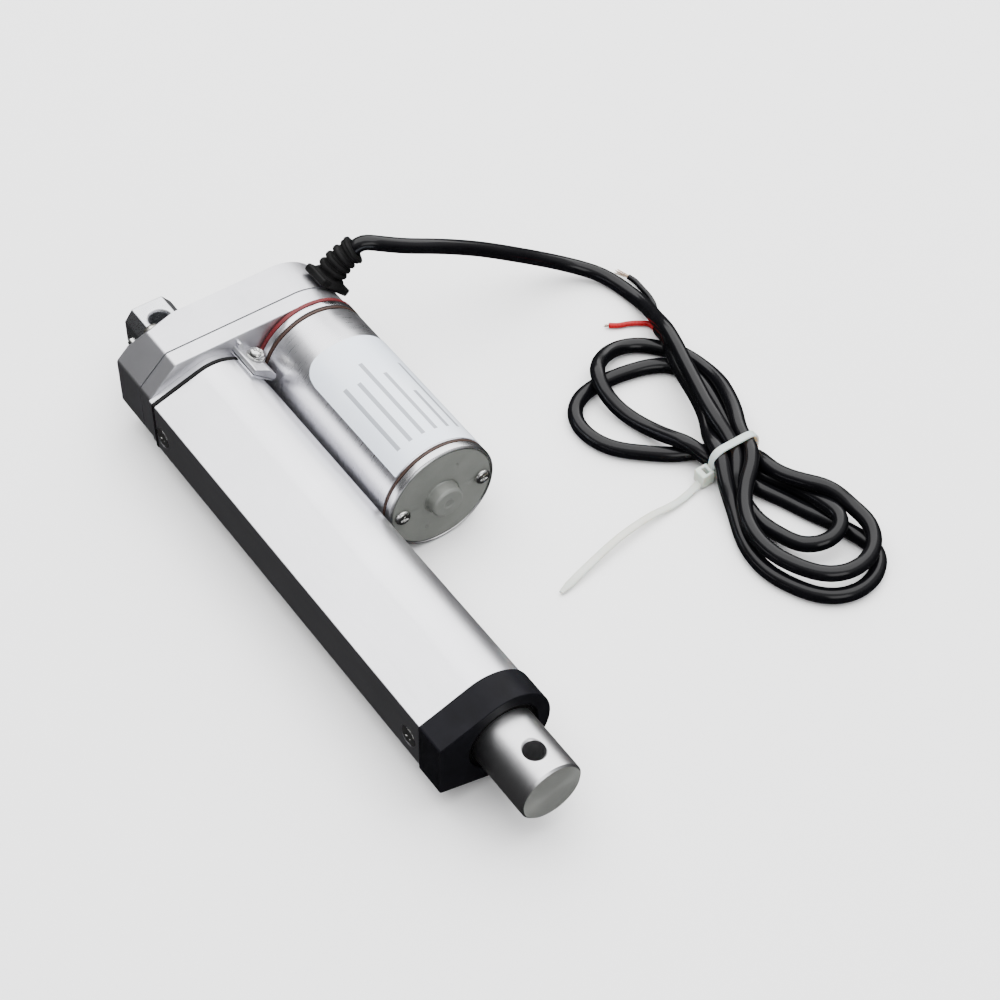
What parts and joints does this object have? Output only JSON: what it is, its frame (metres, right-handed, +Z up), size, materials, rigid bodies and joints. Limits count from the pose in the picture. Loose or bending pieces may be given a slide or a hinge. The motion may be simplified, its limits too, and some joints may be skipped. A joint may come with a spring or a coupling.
{
  "type": "electric linear actuator",
  "caption": "Electric linear actuator with a parallel motor, round push rod, flat-sided aluminium tube, rear clevis, and a black cable tied in a hank.",
  "frame": {"origin": "on the floor under the centre of the actuator's own bounding box, rod retracted", "axes": "+X along the rod towards its eye end, +Y towards the motor's side, +Z up along the eye holes"},
  "size_m": [0.2164, 0.1718, 0.0469],
  "materials": {
    "tube_aluminium": "satin anodised extrusion",
    "cap_plastic": "moulded black plastic, light sheen",
    "seal_rubber": "matt black rubber",
    "bearing_plastic": "off-white acetal",
    "screw_steel": "zinc plated",
    "circuit_board": "green solder mask",
    "switch_plastic": "moulded black",
    "gasket_rubber": "matt black rubber",
    "front_casting": "fine cast and blasted",
    "rear_casting": "fine cast and blasted",
    "housing_screw_metal": "pale zinc plated",
    "clevis_aluminium": "machined, fine tool marks",
    "bearing_steel": "ground steel",
    "red_fibre": "red fibre gasket",
    "flange_steel": "turned, bright",
    "brown_fibre": "brown fibre ring",
    "can_steel": "plated and drawn",
    "end_cap_metal": "grey coated",
    "motor_screw_steel": "zinc plated",
    "label_paper": "plain satin film, no print",
    "magnet_ferrite": "sintered ferrite",
    "brush_board": "phenolic board",
    "brush_carbon": "pressed carbon",
    "relief_rubber": "matt black",
    "cord_jacket": "smooth black jacket, light sheen",
    "tie_nylon": "natural nylon, slightly translucent",
    "black_insulation": "smooth",
    "red_insulation": "smooth",
    "rod_metal": "polished, fine draw lines",
    "machined_steel": "turned",
    "gear_steel": "sintered and oiled",
    "gear_plastic": "off-white acetal",
    "armature_steel": "laminated stack, varnished",
    "commutator_copper": "copper segments",
    "pinion_brass": "machined"
  },
  "bodies": {
    "housing": {"outer_tube": "tube_aluminium", "front_cap": "cap_plastic", "rod_wiper_seal": "seal_rubber", "guide_bush": "bearing_plastic", "side_screw_front": "screw_steel", "side_screw_rear": "screw_steel", "limit_switch_board": "circuit_board", "limit_switch_front": "switch_plastic", "limit_switch_rear": "switch_plastic", "tube_gasket": "gasket_rubber", "gearbox_front_housing": "front_casting", "gearbox_rear_housing": "rear_casting", "housing_screw_1": "housing_screw_metal", "housing_screw_2": "housing_screw_metal", "housing_screw_3": "housing_screw_metal", "housing_screw_4": "housing_screw_metal", "housing_dowel": "screw_steel", "rear_clevis": "clevis_aluminium", "clamp_screw": "screw_steel", "clamp_washer": "screw_steel", "screw_bearing": "bearing_steel", "idler_axle": "bearing_steel", "motor_gasket": "red_fibre", "motor_flange": "flange_steel", "rear_insulating_ring": "brown_fibre", "motor_can": "can_steel", "front_insulating_ring": "brown_fibre", "motor_end_cap": "end_cap_metal", "motor_screw_1": "motor_screw_steel", "motor_screw_2": "motor_screw_steel", "motor_label": "label_paper", "motor_magnet_1": "magnet_ferrite", "motor_magnet_2": "magnet_ferrite", "brush_plate": "brush_board", "motor_brush_1": "brush_carbon", "motor_brush_2": "brush_carbon", "strain_relief": "relief_rubber", "cord_lead": "cord_jacket", "cord_hank": "cord_jacket", "cable_tie": "tie_nylon", "wire_black": "black_insulation", "wire_red": "red_insulation"},
    "rod": {"push_rod": "rod_metal", "drive_nut": "bearing_plastic"},
    "screw": {"lead_screw": "machined_steel", "screw_gear": "gear_steel"},
    "idler": {"idler_small_gear": "gear_steel", "idler_large_gear": "gear_plastic"},
    "rotor": {"motor_shaft": "machined_steel", "motor_armature": "armature_steel", "motor_commutator": "commutator_copper", "motor_pinion": "pinion_brass"}
  },
  "joints": [
    {"name": "rod_slide", "type": "slide", "parent": "housing", "child": "rod", "axis": [1, 0, 0], "range_m": [0, 0.1]},
    {"name": "screw_turn", "type": "hinge", "parent": "housing", "child": "screw", "pos_m": [-0.08045, -0.01602, 0.0187], "axis": [1, 0, 0], "range_deg": [-9000, 0]},
    {"name": "idler_turn", "type": "hinge", "parent": "housing", "child": "idler", "pos_m": [-0.08045, 0.00193, 0.0187], "axis": [1, 0, 0], "range_deg": [0, 18000]},
    {"name": "rotor_turn", "type": "hinge", "parent": "housing", "child": "rotor", "pos_m": [-0.08045, 0.01888, 0.0187], "axis": [1, 0, 0], "range_deg": [-43200, 0]}
  ],
  "couplings": [
    {"joint": "screw_turn", "follows": "rod_slide", "rad_per_m": -1570.8},
    {"joint": "idler_turn", "follows": "rod_slide", "rad_per_m": 3141.6},
    {"joint": "rotor_turn", "follows": "rod_slide", "rad_per_m": -7539.8}
  ]
}
